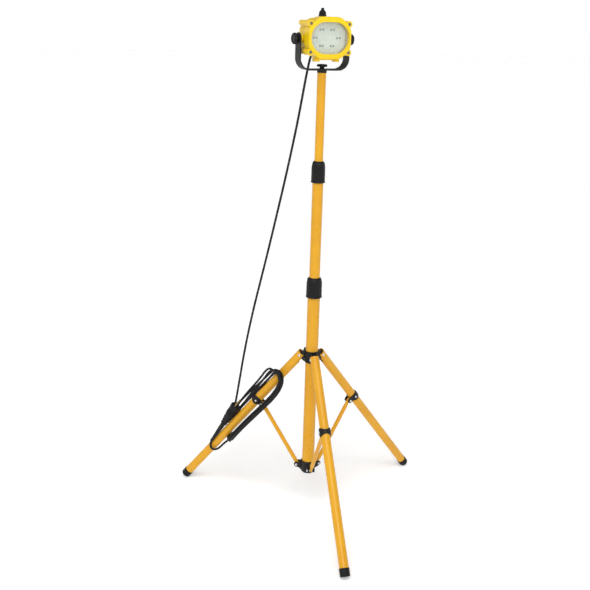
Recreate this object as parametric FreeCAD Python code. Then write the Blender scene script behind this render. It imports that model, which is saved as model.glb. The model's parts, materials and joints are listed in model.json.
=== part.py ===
import FreeCAD, Part
import math
import os

# Work light on a telescopic mast with a folding tripod. Millimetres, +Z up.
# The origin is on the mast axis at floor level, and the lamp head faces -Y.

# ---- driving dimensions ----
LEG_AZIMUTHS = {"front": -99.5, "right": 14.0, "left": 136.5}  # degrees about the mast
SPLAY = 38.75          # opened leg's angle from the mast, degrees
PIVOT_RADIUS = 36.0    # hub and spider pivots, from the mast axis
LINK = 226.5           # strut length, and hub pivot to leg clip pivot
EAR_DROP = 21.0        # leg clip pivot, inside the leg's centre line
SPIDER_Z = 131.5       # height of the spider pivots

LEG_R = 14.0
LEG_WALL = 1.5
LEG_TOP = 8.0          # leg tube above its hub pivot
SLOT_DEPTH = 26.0      # slot in the leg's inner wall, below the pivot
STRUT_R = 6.5
PIN_R = 2.5
PIN_GAP = 0.05
HEAD_R = 4.2           # rivet and bolt heads
HEAD_T = 2.8
TONGUE_HALF = 7.0      # half thickness of a hub tongue
SLOT_HALF = 7.1
EAR_IN = 6.6           # inner face of an ear, from the leg's plane
EAR_OUT = 11.5
EAR_R = 8.0
BAND_R = 17.0
BAND_HALF = 13.0
CLAMP_BOLT_R = 2.0
CAP_R = 15.2
CAP_LENGTH = 24.0
CAP_BASE = 3.0
FOOT_FLAT = 0.6        # how much of the cap's lower edge is flattened
CLIP_WEB_X = 8.0       # where an ear's web leaves the band
CLAMP_HEAD = (3.5, 2.2)       # clamp bolt's head: radius and thickness
RIVET_REACH = 20.0     # half length of a hole drilled across a leg
OVERCUT = 1.0          # how far a cut runs past the face that it opens
LENGTH_TOLERANCE = 0.01       # for finding edges by their extent

TUBE_R = (19.0, 16.0, 12.5)   # lower, middle and upper mast tubes
TUBE_WALL = 1.5
SLIDE_GAP = 0.05
LOWER_Z = (118.5, 754.5)
MIDDLE_Z = (612.0, 1102.0)
UPPER_Z = (957.0, 1355.0)
BUSH_LENGTHS = (40.0, 35.0)
COLLET_T = 8.0
LOCK_LENGTH = 54.0
LOCK_R = (24.6, 21.0)
COLLET_R = (22.5, 18.5)
LOCK_GAP = 0.2

HUB_R = 22.4
HUB_HALF = 18.5
TONGUE_R = 9.0
CLAMP_AZIMUTH = 95.0
CLAMP_LIFT = 8.0       # clamp screw, above the hub pivots
CLAMP_BOSS_R = 7.0
CLAMP_BOSS = (21.0, 30.0)     # spans outwards from the mast axis
CLAMP_GRIP = (30.2, 41.0)
CLAMP_GRIP_R = 8.0
CLAMP_STUD_R = 3.0
CLAMP_HOLE_R = 3.1
CUP_R = 23.0
CUP_Z = (109.5, 151.5)
CUP_ROUND = 8.0
EAR_ROOT = 26.0        # an ear's web, from the pivot towards the mast

MAST_TOP = 1360.0
PLUG_DEPTH = 25.0      # mast plug, inside the upper tube
STUD_HOLE = 20.0       # depth of its threaded hole
STUD_DEPTH = 18.0
PLUG_RIM = 1.0         # plug's flange, beyond the tube
WASHER_T = 1.5
YOKE_W = 33.0
YOKE_T = 4.0
YOKE_INNER = 71.5
YOKE_CORNER = 32.0
YOKE_BASE_Z = MAST_TOP + WASHER_T + 0.1
TILT_Z = 1444.5
BOLT_R = 4.0
BOLT_GAP = 0.1
YOKE_SPAN = 90.0       # half width of the cuts that run right across the yoke
CLAMP_KNOB_R = 15.5
CLAMP_STEM_R = 6.0
CLAMP_STEM = 5.0
CLAMP_KNOB_T = 7.5
SIDE_KNOB_R = 15.0
SIDE_KNOB_T = 15.0
SIDE_STUD_X = 57.0     # inner end of a side knob's stud
KNOB_ROUND = 2.0

# Lamp head, measured from its middle: x across, y to the back, z up.
HEAD_LIFT = 4.0        # the head's middle, above its tilt axis
BEZEL_HALF = (63.0, 55.4)
BEZEL_ROUND = 30.0
HOUSING_HALF = (58.0, 51.0)
HOUSING_ROUND = 24.0
WINDOW_HALF = (57.0, 41.5)
WINDOW_ROUND = 38.0
CAVITY_HALF = (59.5, 49.0)
CAVITY_ROUND = 28.0
LENS_GAP = 0.3
FRONT_Y = -50.0
LENS_Y = -40.0
LENS_T = 3.0
JOINT_Y = -12.0
GASKET_T = 2.0
GASKET_W = 4.0
BACK_Y = 38.0
BACK_ROUND = 8.0
FRONT_ROUND = 4.0
WALL = 3.0
SCREW_AT = (57.0, 37.2)
PILLAR_R = 7.5
PILLAR_END_Y = 22.0
PILOT_R = 2.0          # thread hole in a pillar, and the screw's shank
PILOT_END_Y = 14.0
LOBE_R = 8.5
COUNTERBORE = (4.6, 7.0)      # radius and depth of a screw's pocket
BEZEL_HOLE_R = 2.1
SCREW_HEAD = (4.2, 2.5)
SCREW_END_Y = 12.0
DRIVE_SLOT = (5.0, 0.6, 1.0)  # half length, half width and depth of a screw's slot
PLINTH_HALF = 36.0
PLINTH_Y = -30.0
PLINTH_Z = (-58.0, -50.0)
FOOT_X = 29.5
FOOT_HALF = 6.5
FOOT_Y = -32.0
FOOT_Z = (-62.5, -54.0)
WEB_SHARE = 0.9        # the web that joins a screw pillar to the wall, nearer the middle
BOARD_Y = -20.0
BOARD_T = 1.6
BOARD_HALF = (50.0, 39.0)
BOARD_ROUND = 6.0
TRAY_HALF = (54.0, 44.0)
TRAY_ROUND = 20.0
TRAY_T = 6.0
LED_HOLE_R = 3.6
LED_HALF = 2.0
LED_T = 1.2
POST_R = 3.5
POST_AT = (40.0, 22.0)
SINK_HALF = (48.0, 37.0)
SINK_T = 4.0
FIN_PITCH = 8.0
FIN_T = 2.0
FIN_HALF = 34.0
FIN_END_Y = 4.0
DRIVER_LOW = (-32.0, 18.0, -24.0)
DRIVER_HIGH = (8.0, 35.0, 18.0)
LED_CENTRES = [(-16, 21.3), (16, 21.3), (-35, 0), (35, 0), (-16, -21.3), (16, -21.3)]
LED_PAIR = 4.0
TRUNNION_R = 9.6
TRUNNION_ROOT = 50.0
TRUNNION_END = 70.2
TRUNNION_BORE = (56.0, 80.0)
TILT_WASHER_T = 1.2
SWITCH_Y = 9.0
SWITCH_HALF = (6.0, 9.0)
SWITCH_LOW = 35.0
BUSHING_R = 6.0
SWITCH_NUT_R = (10.75, 9.6)
BOOT_Z = 61.0          # the point that the toggle's boot rocks about
BOOT_R = 9.5
BOOT_HALF = 6.0        # the ball's flats, below and above its centre
BOOT_CONE = (7.4, 4.8)
BOOT_NECK = (11.0, 12.5)      # heights above the ball's centre
BOOT_NECK_R = 3.2
BOOT_TIP_R = 3.4
GLAND_BORE_R = 6.0
GLAND_NUT_R = 11.0
GLAND_NUT_T = 8.0
GLAND_START_Y = 31.0
RELIEF_R = (7.5, 4.4)
GLAND_X = 23.5
GLAND_Z = -27.5

# Power cord: a heavy rubber lead.
CORD_R = 3.5
COIL_R = 9.5           # one side of the coil, as a bundle of strands
COIL_SEAM = 1.0        # cut across the coil's ring, between its ends
ARC_SHARE = 0.45       # share of a straight run that the arc at its end may take
PIN_PITCH = 9.5        # plug pins: half spacing, radius and length
PLUG_PIN_R = 2.4
PLUG_PIN_LENGTH = 19.0

# ---- worked out ----
CLIP_S = math.sqrt(LINK ** 2 - EAR_DROP ** 2)
LINK_TILT = math.radians(SPLAY) - math.atan2(EAR_DROP, CLIP_S)
HUB_Z = SPIDER_Z + 2 * LINK * math.cos(LINK_TILT)
SIN_SPLAY = math.sin(math.radians(SPLAY))
COS_SPLAY = math.cos(math.radians(SPLAY))
CAP_END = (HUB_Z + FOOT_FLAT - CAP_R * SIN_SPLAY) / COS_SPLAY

X = FreeCAD.Vector(1, 0, 0)
Y = FreeCAD.Vector(0, 1, 0)
Z = FreeCAD.Vector(0, 0, 1)

os.makedirs("parts", exist_ok=True)


def save(name, shape):
    shape.exportStep("parts/" + name + ".step")


def vec(x, y, z):
    return FreeCAD.Vector(x, y, z)


def rod(radius, start, end):
    """A cylinder between two points."""
    axis = end - start
    return Part.makeCylinder(radius, axis.Length, start, axis)


def pipe(outer, inner, start, end):
    return rod(outer, start, end).cut(rod(inner, start, end))


def upright(outer, inner, low, high):
    """A ring about the mast axis."""
    return pipe(outer, inner, vec(0, 0, low), vec(0, 0, high))


def block(low, high):
    size = high - low
    return Part.makeBox(size.x, size.y, size.z, low)


def fuse(first, *others):
    return first.multiFuse(list(others)).removeSplitter()


def cone(radius_a, radius_b, start, end):
    axis = end - start
    return Part.makeCone(radius_a, radius_b, axis.Length, start, axis)


# ---- frames that the tripod's pieces are built in ----

def radial(azimuth):
    a = math.radians(azimuth)
    return vec(math.cos(a), math.sin(a), 0)


def tangent(azimuth):
    a = math.radians(azimuth)
    return vec(-math.sin(a), math.cos(a), 0)


def frame(origin, x_axis, y_axis, z_axis):
    m = FreeCAD.Matrix()
    m.A11, m.A21, m.A31 = x_axis
    m.A12, m.A22, m.A32 = y_axis
    m.A13, m.A23, m.A33 = z_axis
    m.A14, m.A24, m.A34 = origin
    return FreeCAD.Placement(m)


def leg_frame(azimuth):
    """Origin at the hub pivot; local z runs down the leg, and local x points up and outwards."""
    r = radial(azimuth)
    down = r * SIN_SPLAY - Z * COS_SPLAY
    out = r * COS_SPLAY + Z * SIN_SPLAY
    return frame(r * PIVOT_RADIUS + Z * HUB_Z, out, -tangent(azimuth), down)


def strut_frame(azimuth):
    """Origin at the spider pivot; local z runs up the strut."""
    r = radial(azimuth)
    up = r * math.sin(LINK_TILT) + Z * math.cos(LINK_TILT)
    out = r * math.cos(LINK_TILT) - Z * math.sin(LINK_TILT)
    return frame(r * PIVOT_RADIUS + Z * SPIDER_Z, out, tangent(azimuth), up)


def lug_frame(azimuth, height):
    """Origin at a pivot of the hub or the spider; local x points away from the mast."""
    r = radial(azimuth)
    return frame(r * PIVOT_RADIUS + Z * height, r, tangent(azimuth), Z)


def placed(shape, placement):
    moved = shape.copy()
    moved.Placement = placement.multiply(moved.Placement)
    return moved


def leg_point(s, v, w):
    """A point by the left leg: s along it from the hub pivot, v outwards, w round the mast."""
    return leg_frame(LEG_AZIMUTHS["left"]).multVec(vec(v, -w, s))


def across(radius, x, z):
    """A drill through local (x, z), lying along local y."""
    return rod(radius, vec(x, -RIVET_REACH, z), vec(x, RIVET_REACH, z))


def cross_pin(x, z, radius, half, head_radius, head_thickness):
    """A headed pin through local (x, z), lying along local y."""
    body = rod(radius, vec(x, -half, z), vec(x, half, z))
    near = rod(head_radius, vec(x, -half - head_thickness, z), vec(x, -half, z))
    far = rod(head_radius, vec(x, half, z), vec(x, half + head_thickness, z))
    return fuse(body, near, far)


# ---- tripod ----

def leg_tube():
    tube = pipe(LEG_R, LEG_R - LEG_WALL, vec(0, 0, -LEG_TOP), vec(0, 0, CAP_END - CAP_BASE))
    slot = block(vec(-RIVET_REACH, -SLOT_HALF, -LEG_TOP - OVERCUT), vec(0, SLOT_HALF, SLOT_DEPTH))
    pivot = across(PIN_R, 0, 0)
    clamp = across(CLAMP_BOLT_R, 0, CLIP_S)
    return tube.cut(slot).cut(pivot).cut(clamp)


def foot_cap(placement):
    outer = rod(CAP_R, vec(0, 0, CAP_END - CAP_LENGTH), vec(0, 0, CAP_END))
    inner = rod(LEG_R, vec(0, 0, CAP_END - CAP_LENGTH - OVERCUT), vec(0, 0, CAP_END - CAP_BASE))
    cap = placed(outer.cut(inner), placement)
    below = cap.BoundBox
    ground = block(vec(below.XMin, below.YMin, below.ZMin - OVERCUT), vec(below.XMax, below.YMax, 0))
    return cap.cut(ground)


def leg_clip():
    low = CLIP_S - BAND_HALF
    high = CLIP_S + BAND_HALF
    band = pipe(BAND_R, LEG_R, vec(0, 0, low), vec(0, 0, high))
    band = band.cut(block(vec(-BAND_R, -EAR_IN, low), vec(0, EAR_IN, high)))
    pieces = []
    for side in (-1, 1):
        inner = side * EAR_IN
        outer = side * EAR_OUT
        disc = rod(EAR_R, vec(-EAR_DROP, inner, CLIP_S), vec(-EAR_DROP, outer, CLIP_S))
        y_low, y_high = sorted((inner, outer))
        web = block(vec(-EAR_DROP, y_low, CLIP_S - EAR_R), vec(-CLIP_WEB_X, y_high, CLIP_S + EAR_R))
        pieces += [disc, web]
    clip = fuse(band, *pieces).cut(rod(LEG_R, vec(0, 0, low), vec(0, 0, high)))
    return clip.cut(across(PIN_R, -EAR_DROP, CLIP_S)).cut(across(CLAMP_BOLT_R, 0, CLIP_S))


def clip_bolts():
    pivot = cross_pin(-EAR_DROP, CLIP_S, PIN_R, EAR_OUT, HEAD_R, HEAD_T)
    clamp = cross_pin(0, CLIP_S, CLAMP_BOLT_R, BAND_R, *CLAMP_HEAD)
    return Part.makeCompound([pivot, clamp])


def strut():
    bar = rod(STRUT_R, vec(0, 0, 0), vec(0, 0, LINK))
    ends = [Part.makeSphere(STRUT_R, vec(0, 0, z)) for z in (0, LINK)]
    bar = fuse(bar, *ends)
    for z in (0, LINK):
        bar = bar.cut(across(PIN_R + PIN_GAP, 0, z))
    return bar


def clamp_rod(radius, start, end):
    """A cylinder on the hub clamp screw's axis, between two distances from the mast axis."""
    r = radial(CLAMP_AZIMUTH)
    height = Z * (HUB_Z + CLAMP_LIFT)
    return rod(radius, r * start + height, r * end + height)


def hub():
    low = HUB_Z - HUB_HALF
    high = HUB_Z + HUB_HALF
    bore = rod(TUBE_R[0] + 2 * SLIDE_GAP, vec(0, 0, low), vec(0, 0, high))
    body = rod(HUB_R, vec(0, 0, low), vec(0, 0, high))
    pieces = []
    holes = []
    for azimuth in LEG_AZIMUTHS.values():
        place = lug_frame(azimuth, HUB_Z)
        nose = rod(TONGUE_R, vec(0, -TONGUE_HALF, 0), vec(0, TONGUE_HALF, 0))
        web = block(vec(-HUB_R, -TONGUE_HALF, -TONGUE_R), vec(0, TONGUE_HALF, TONGUE_R))
        hole = across(PIN_R + PIN_GAP, 0, 0)
        pieces += [placed(nose, place), placed(web, place)]
        holes.append(placed(hole, place))
    pieces.append(clamp_rod(CLAMP_BOSS_R, *CLAMP_BOSS))
    body = fuse(body, *pieces).cut(bore)
    body = body.cut(clamp_rod(CLAMP_HOLE_R, 0, CLAMP_BOSS[1] + OVERCUT))
    for hole in holes:
        body = body.cut(hole)
    return body


def hub_screw():
    stud = clamp_rod(CLAMP_STUD_R, TUBE_R[0] + SLIDE_GAP, CLAMP_GRIP[1])
    return fuse(stud, clamp_rod(CLAMP_GRIP_R, *CLAMP_GRIP))


def spider():
    low, high = CUP_Z
    cup = rod(CUP_R, vec(0, 0, low), vec(0, 0, high))
    bottom = [e for e in cup.Edges if e.BoundBox.ZMax < low + LENGTH_TOLERANCE]
    cup = cup.makeFillet(CUP_ROUND, bottom)
    pieces = []
    for azimuth in LEG_AZIMUTHS.values():
        place = lug_frame(azimuth, SPIDER_Z)
        for side in (-1, 1):
            y_low, y_high = sorted((side * EAR_IN, side * EAR_OUT))
            disc = rod(EAR_R, vec(0, y_low, 0), vec(0, y_high, 0))
            web = block(vec(-EAR_ROOT, y_low, -EAR_R), vec(0, y_high, EAR_R))
            pieces += [placed(disc, place), placed(web, place)]
    cup = fuse(cup, *pieces).cut(rod(TUBE_R[0], vec(0, 0, LOWER_Z[0]), vec(0, 0, high + OVERCUT)))
    for azimuth in LEG_AZIMUTHS.values():
        cup = cup.cut(placed(across(PIN_R, 0, 0), lug_frame(azimuth, SPIDER_Z)))
    return cup


def build_tripod():
    save("hub", hub())
    save("hub_clamp_screw", hub_screw())
    save("spider", spider())
    rivets = []
    for name, azimuth in LEG_AZIMUTHS.items():
        on_leg = leg_frame(azimuth)
        save("leg_" + name, placed(leg_tube(), on_leg))
        save("foot_cap_" + name, foot_cap(on_leg))
        save("leg_clip_" + name, placed(leg_clip(), on_leg))
        save("clip_bolts_" + name, placed(clip_bolts(), on_leg))
        save("leg_rivet_" + name, placed(cross_pin(0, 0, PIN_R, LEG_R, HEAD_R, HEAD_T), on_leg))
        save("strut_" + name, placed(strut(), strut_frame(azimuth)))
        rivet = cross_pin(0, 0, PIN_R, EAR_OUT, HEAD_R, HEAD_T)
        rivets.append(placed(rivet, lug_frame(azimuth, SPIDER_Z)))
    save("spider_rivets", Part.makeCompound(rivets))


# ---- mast ----

def build_mast():
    for name, radius, span in zip(("lower", "middle", "upper"), TUBE_R, (LOWER_Z, MIDDLE_Z, UPPER_Z)):
        save(name + "_tube", upright(radius, radius - TUBE_WALL, *span))
    outer_tubes = zip(("lower", "upper"), (LOWER_Z, MIDDLE_Z), TUBE_R, TUBE_R[1:], LOCK_R, COLLET_R)
    for name, span, outside, inside, lock_r, collet_r in outer_tubes:
        top = span[1]
        save(name + "_collet", upright(collet_r, inside + SLIDE_GAP, top, top + COLLET_T))
        sleeve = upright(lock_r, outside + SLIDE_GAP, top - LOCK_LENGTH, top - LOCK_GAP)
        save(name + "_lock", sleeve)
    bushes = zip(("middle", "upper"), (MIDDLE_Z, UPPER_Z), TUBE_R, TUBE_R[1:], BUSH_LENGTHS)
    for name, span, outside, inside, length in bushes:
        bush = upright(outside - TUBE_WALL - SLIDE_GAP, inside, span[0], span[0] + length)
        save(name + "_bush", bush)
    inner = TUBE_R[2] - TUBE_WALL
    plug = rod(inner, vec(0, 0, UPPER_Z[1] - PLUG_DEPTH), vec(0, 0, UPPER_Z[1]))
    flange = rod(TUBE_R[2] + PLUG_RIM, vec(0, 0, UPPER_Z[1]), vec(0, 0, MAST_TOP))
    bore = rod(BOLT_R + BOLT_GAP, vec(0, 0, MAST_TOP - STUD_HOLE), vec(0, 0, MAST_TOP))
    save("mast_plug", fuse(plug, flange).cut(bore))


# ---- yoke ----

def tilt_rod(radius, start, end):
    """A cylinder on the head's tilt axis."""
    return rod(radius, vec(start, 0, TILT_Z), vec(end, 0, TILT_Z))


def yoke():
    base = YOKE_BASE_Z
    solids = []
    for inset in (0, YOKE_T):
        half = YOKE_INNER + YOKE_T - inset
        body = block(vec(-half, -YOKE_W, base + inset), vec(half, YOKE_W, TILT_Z + YOKE_W))
        lines = [e for e in body.Edges if e.BoundBox.YLength > YOKE_W]
        low = [e for e in lines if e.BoundBox.ZMax < base + inset + LENGTH_TOLERANCE]
        solids.append(body.makeFillet(YOKE_CORNER - inset, low))
    shell = solids[0].cut(solids[1])
    outline = block(vec(-YOKE_SPAN, -YOKE_W / 2, base), vec(YOKE_SPAN, YOKE_W / 2, TILT_Z))
    outline = fuse(outline, tilt_rod(YOKE_W / 2, -YOKE_SPAN, YOKE_SPAN))
    shell = shell.common(outline)
    shell = shell.cut(tilt_rod(BOLT_R + BOLT_GAP, -YOKE_SPAN, YOKE_SPAN))
    return shell.cut(rod(BOLT_R + BOLT_GAP, vec(0, 0, base - OVERCUT), vec(0, 0, base + YOKE_T + OVERCUT)))


def clamp_knob():
    top = YOKE_BASE_Z + YOKE_T + BOLT_GAP
    under = top + CLAMP_STEM
    stud = rod(BOLT_R, vec(0, 0, MAST_TOP - STUD_DEPTH), vec(0, 0, top))
    stem = rod(CLAMP_STEM_R, vec(0, 0, top), vec(0, 0, under))
    head = rod(CLAMP_KNOB_R, vec(0, 0, under), vec(0, 0, under + CLAMP_KNOB_T))
    head = head.makeFillet(KNOB_ROUND, head.Edges)
    return fuse(stud, stem, head)


def side_knob(side):
    face = YOKE_INNER + YOKE_T + BOLT_GAP
    stud = tilt_rod(BOLT_R, side * SIDE_STUD_X, side * face)
    grip = tilt_rod(SIDE_KNOB_R, side * face, side * (face + SIDE_KNOB_T))
    rims = [e for e in grip.Edges if e.BoundBox.XLength < LENGTH_TOLERANCE]
    grip = grip.makeFillet(KNOB_ROUND, rims)
    return fuse(stud, grip)


def build_yoke():
    save("yoke", yoke())
    save("yoke_washer", upright(TUBE_R[2] + 0.5, BOLT_R + BOLT_GAP, MAST_TOP, MAST_TOP + WASHER_T))
    save("yoke_clamp_knob", clamp_knob())
    washers = []
    for name, side in (("left", -1), ("right", 1)):
        save("side_knob_" + name, side_knob(side))
        span = (side * TRUNNION_END, side * (TRUNNION_END + TILT_WASHER_T))
        washers.append(tilt_rod(TRUNNION_R, *span).cut(tilt_rod(BOLT_R + BOLT_GAP, *span)))
    save("tilt_washers", Part.makeCompound(washers))


# ---- lamp head ----

def head_point(x, y, z):
    return vec(x, y, TILT_Z + HEAD_LIFT + z)


def along(radius, x, z, y_start, y_end):
    """A cylinder from front to back through the head."""
    return rod(radius, head_point(x, y_start, z), head_point(x, y_end, z))


def octagon(half, y_start, y_end, rounding):
    """An eight-sided block with rounded corners, lying from front to back."""
    a, b = half
    corners = [(a / 2, b), (a, b / 2), (a, -b / 2), (a / 2, -b)]
    corners += [(-x, z) for x, z in reversed(corners)]
    points = [head_point(x, y_start, z) for x, z in corners]
    face = Part.Face(Part.makePolygon(points + points[:1]))
    solid = face.extrude(vec(0, y_end - y_start, 0))
    length = abs(y_end - y_start)
    sides = [e for e in solid.Edges if abs(e.BoundBox.YLength - length) < LENGTH_TOLERANCE]
    return solid.makeFillet(rounding, sides)


def four_corners(x, z):
    return [(i * x, j * z) for i in (-1, 1) for j in (-1, 1)]


def rear_housing():
    start = JOINT_Y + GASKET_T
    body = octagon(HOUSING_HALF, start, BACK_Y, HOUSING_ROUND)
    rear = [e for e in body.Edges if e.BoundBox.YMin > BACK_Y - LENGTH_TOLERANCE]
    body = body.makeFillet(BACK_ROUND, rear)
    inner_half = (HOUSING_HALF[0] - WALL, HOUSING_HALF[1] - WALL)
    inner = octagon(inner_half, start - OVERCUT, BACK_Y - WALL, HOUSING_ROUND - WALL)
    trunnions = [tilt_rod(TRUNNION_R, i * TRUNNION_ROOT, i * TRUNNION_END) for i in (-1, 1)]
    places = four_corners(*SCREW_AT)
    pillars = [along(PILLAR_R, x, z, start, PILLAR_END_Y) for x, z in places]
    webs = [along(PILLAR_R, x * WEB_SHARE, z * WEB_SHARE, start, PILLAR_END_Y) for x, z in places]
    body = fuse(body, *trunnions, *pillars, *webs).cut(inner)
    sink_back = BOARD_Y + BOARD_T + SINK_T
    posts = [along(POST_R, x, z, sink_back, BACK_Y - OVERCUT) for x, z in four_corners(*POST_AT)]
    body = fuse(body, *posts)
    for x, z in places:
        body = body.cut(along(PILOT_R, x, z, start - OVERCUT, PILOT_END_Y))
    for side in (-1, 1):
        body = body.cut(tilt_rod(BOLT_R + SLIDE_GAP, *[side * x for x in TRUNNION_BORE]))
    top = HOUSING_HALF[1]
    hole_low = head_point(0, SWITCH_Y, top - 2 * WALL)
    body = body.cut(rod(BUSHING_R + SLIDE_GAP, hole_low, head_point(0, SWITCH_Y, BOOT_Z)))
    return body.cut(along(GLAND_BORE_R, GLAND_X, GLAND_Z, GLAND_START_Y, BACK_Y + OVERCUT))


def front_bezel():
    body = octagon(BEZEL_HALF, FRONT_Y, JOINT_Y, BEZEL_ROUND)
    front = [e for e in body.Edges if e.BoundBox.YMax < FRONT_Y + LENGTH_TOLERANCE]
    body = body.makeFillet(FRONT_ROUND, front)
    places = four_corners(*SCREW_AT)
    lobes = [along(LOBE_R, x, z, FRONT_Y + FRONT_ROUND, JOINT_Y) for x, z in places]
    plinth_low = head_point(-PLINTH_HALF, PLINTH_Y, PLINTH_Z[0])
    plinth = block(plinth_low, head_point(PLINTH_HALF, JOINT_Y, PLINTH_Z[1]))
    feet = []
    for x in (-FOOT_X, FOOT_X):
        foot_low = head_point(x - FOOT_HALF, FOOT_Y, FOOT_Z[0])
        feet.append(block(foot_low, head_point(x + FOOT_HALF, JOINT_Y, FOOT_Z[1])))
    body = fuse(body, plinth, *lobes, *feet)
    body = body.cut(octagon(WINDOW_HALF, FRONT_Y - OVERCUT, LENS_Y + OVERCUT, WINDOW_ROUND))
    body = body.cut(octagon(CAVITY_HALF, LENS_Y, JOINT_Y + OVERCUT, CAVITY_ROUND))
    pocket_r, pocket = COUNTERBORE
    for x, z in places:
        body = body.cut(along(pocket_r, x, z, FRONT_Y, FRONT_Y + pocket))
        body = body.cut(along(BEZEL_HOLE_R, x, z, FRONT_Y, JOINT_Y + OVERCUT))
    return body


def bezel_screws():
    screws = []
    seat = FRONT_Y + COUNTERBORE[1]
    face = seat - SCREW_HEAD[1]
    half_length, half_width, depth = DRIVE_SLOT
    for x, z in four_corners(*SCREW_AT):
        head = along(SCREW_HEAD[0], x, z, face, seat)
        slot_low = head_point(x - half_length, face - OVERCUT, z - half_width)
        slot = block(slot_low, head_point(x + half_length, face + depth, z + half_width))
        screws.append(fuse(head, along(PILOT_R, x, z, seat, SCREW_END_Y)).cut(slot))
    return Part.makeCompound(screws)


def led_places():
    return [(x + side * LED_PAIR, z) for x, z in LED_CENTRES for side in (-1, 1)]


def heat_sink():
    front = BOARD_Y + BOARD_T
    back = front + SINK_T
    base = octagon(SINK_HALF, front, back, BOARD_ROUND)
    fins = []
    for i in range(-4, 5):
        x = FIN_PITCH * i
        fin_low = head_point(x - FIN_T / 2, back, -FIN_HALF)
        fins.append(block(fin_low, head_point(x + FIN_T / 2, FIN_END_Y, FIN_HALF)))
    return fuse(base, *fins)


def switch_boot():
    """A rubber dome over the toggle, round below so that it can rock in its nut."""
    centre = head_point(0, SWITCH_Y, BOOT_Z)
    corner = vec(BOOT_R + OVERCUT, BOOT_R + OVERCUT, BOOT_HALF)
    ball = Part.makeSphere(BOOT_R, centre).common(block(centre - corner, centre + corner))
    neck_low = centre + Z * BOOT_NECK[0]
    neck_high = centre + Z * BOOT_NECK[1]
    shoulder = cone(*BOOT_CONE, centre + Z * BOOT_HALF, neck_low)
    neck = rod(BOOT_NECK_R, neck_low, neck_high)
    return fuse(ball, shoulder, neck, Part.makeSphere(BOOT_TIP_R, neck_high))


def build_head():
    save("rear_housing", rear_housing())
    save("front_bezel", front_bezel())
    save("bezel_screws", bezel_screws())
    gasket = octagon(HOUSING_HALF, JOINT_Y, JOINT_Y + GASKET_T, HOUSING_ROUND)
    gasket_half = (HOUSING_HALF[0] - GASKET_W, HOUSING_HALF[1] - GASKET_W)
    gasket_end = JOINT_Y + GASKET_T + OVERCUT
    gasket = gasket.cut(octagon(gasket_half, JOINT_Y - OVERCUT, gasket_end, HOUSING_ROUND - GASKET_W))
    save("bezel_gasket", gasket)
    lens_half = (CAVITY_HALF[0] - LENS_GAP, CAVITY_HALF[1] - LENS_GAP)
    save("lens", octagon(lens_half, LENS_Y, LENS_Y + LENS_T, CAVITY_ROUND))
    tray = octagon(TRAY_HALF, BOARD_Y - TRAY_T, BOARD_Y, TRAY_ROUND)
    leds = []
    for x, z in led_places():
        tray = tray.cut(along(LED_HOLE_R, x, z, BOARD_Y - TRAY_T - OVERCUT, BOARD_Y + OVERCUT))
        led_low = head_point(x - LED_HALF, BOARD_Y - LED_T, z - LED_HALF)
        leds.append(block(led_low, head_point(x + LED_HALF, BOARD_Y, z + LED_HALF)))
    save("reflector_tray", tray)
    save("led_board", octagon(BOARD_HALF, BOARD_Y, BOARD_Y + BOARD_T, BOARD_ROUND))
    save("leds", Part.makeCompound(leds))
    save("heat_sink", heat_sink())
    save("led_driver", block(head_point(*DRIVER_LOW), head_point(*DRIVER_HIGH)))

    top = HOUSING_HALF[1]
    half_x, half_y = SWITCH_HALF
    switch_low = head_point(-half_x, SWITCH_Y - half_y, SWITCH_LOW)
    body = block(switch_low, head_point(half_x, SWITCH_Y + half_y, top - WALL))
    bushing = rod(BUSHING_R, head_point(0, SWITCH_Y, top - WALL), head_point(0, SWITCH_Y, top + 2))
    save("switch_body", fuse(body, bushing))
    nut_top = head_point(0, SWITCH_Y, BOOT_Z - 0.5)
    save("switch_nut", pipe(*SWITCH_NUT_R, head_point(0, SWITCH_Y, top), nut_top))
    save("switch_boot", switch_boot())

    nut_end = BACK_Y + GLAND_NUT_T
    thread = along(GLAND_BORE_R, GLAND_X, GLAND_Z, GLAND_START_Y, BACK_Y)
    nut = along(GLAND_NUT_R, GLAND_X, GLAND_Z, BACK_Y, nut_end)
    bore = along(CORD_R + BOLT_GAP, GLAND_X, GLAND_Z, GLAND_START_Y - OVERCUT, nut_end + OVERCUT)
    save("cable_gland", fuse(thread, nut).cut(bore))
    save("cord_strain_relief", cone(*RELIEF_R, head_point(GLAND_X, nut_end, GLAND_Z), CORD_ROUTE[0]))


# ---- power cord ----

# From the gland: round and down behind the head, then nearly straight to the coil on the left leg.
CORD_ROUTE = [
    vec(23.5, 66, 1421), vec(23.5, 94, 1421), vec(20.5, 117.5, 1402), vec(13, 124, 1367),
    vec(-24.3, 123.8, 1153), vec(-90, 143.4, 827), vec(-149, 163.2, 556),
    leg_point(293.95, 49.6, -14.6), leg_point(322, 36, -18),
]
# Round the leg: s along the leg, v outwards, w round the mast.
COIL_ROUTE = [
    (175, 31, -4), (250, 28, -10), (310, 22, -20), (370, 17, -23), (402, 0, -27),
    (412, -21, -17), (410, -31, 3), (382, -31, 23), (310, -29, 29), (230, -30, 31),
    (160, -32, 30), (114, -25, 31), (91, -3, 30), (94, 22, 20), (118, 33, 4),
]
COIL_ENTRY = [(355, 20, -22), (322, 36, -18)]
COIL_LEAVING = [(408, -28, -4), (434, -26, 1)]
PLUG_AXIS = [(298, 35.5, 6), (460, 13.5, 15)]
TAIL_ROUTE = [
    (460, 13.5, 15), (476, 11.327, 15.889), (489, 2, 22), (492, -14, 26), (484, -26, 21),
    (469, -29, 12), (453.5, -24.5, 4.75), (434, -26, 1),
]


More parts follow.
